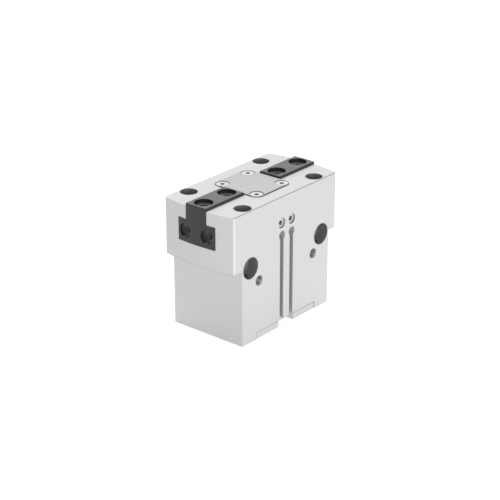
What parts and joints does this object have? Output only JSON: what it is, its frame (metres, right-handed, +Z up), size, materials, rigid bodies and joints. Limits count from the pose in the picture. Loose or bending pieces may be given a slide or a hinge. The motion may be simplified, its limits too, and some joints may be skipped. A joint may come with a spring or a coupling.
{
  "type": "parallel gripper",
  "caption": "Compact pneumatic parallel gripper: stepped light metal body, black sliding jaws in a T-slot, driven by an inner piston through a keyed wedge.",
  "frame": {"origin": "centre of the footprint, on the mounting face under the body", "axes": "+X the way the right jaw opens, -Y the wide face with the air ports, +Z up to the jaws' tops"},
  "size_m": [0.0824, 0.043, 0.0691],
  "materials": {
    "anodised_housing": "fine satin, clear anodised",
    "cover_sheet": "finely ground stainless sheet",
    "bottom_cover_metal": "satin, clear anodised",
    "blackened_steel": "hardened and blackened, ground top",
    "hardened_steel": "hardened and ground",
    "screw_steel": "stainless, bright",
    "piston_metal": "turned and milled",
    "bush_bronze": "sintered bronze",
    "guide_plastic": "filled slide plastic",
    "magnet": "nickel plated",
    "seal_rubber": "moulded"
  },
  "bodies": {
    "housing": {"housing": "anodised_housing", "cover_plate": "cover_sheet", "cover_gasket": "seal_rubber", "cover_plate_screws": "screw_steel", "bottom_cover": "bottom_cover_metal", "bottom_cover_screws": "screw_steel", "bottom_cover_seal": "seal_rubber", "bottom_cover_dowels": "screw_steel", "stop_buffers": "seal_rubber", "rod_bush": "bush_bronze", "rod_seal": "seal_rubber", "purge_plugs": "screw_steel"},
    "piston_unit": {"piston": "piston_metal", "piston_seal": "seal_rubber", "piston_guide_ring": "guide_plastic", "piston_magnets": "magnet", "piston_buffers": "seal_rubber", "piston_screw": "screw_steel", "rod_o_ring": "seal_rubber", "wedge": "hardened_steel"},
    "jaw_left": {"jaw_left": "blackened_steel"},
    "jaw_right": {"jaw_right": "blackened_steel"}
  },
  "joints": [
    {"name": "piston_slide", "type": "slide", "parent": "housing", "child": "piston_unit", "axis": [0, 0, -1], "range_m": [0, 0.008]},
    {"name": "jaw_right_slide", "type": "slide", "parent": "housing", "child": "jaw_right", "axis": [1, 0, 0], "range_m": [0, 0.006]},
    {"name": "jaw_left_slide", "type": "slide", "parent": "housing", "child": "jaw_left", "axis": [-1, 0, 0], "range_m": [0, 0.006]}
  ],
  "couplings": [
    {"joint": "jaw_right_slide", "follows": "piston_slide", "ratio": 0.75},
    {"joint": "jaw_left_slide", "follows": "piston_slide", "ratio": 0.75}
  ]
}
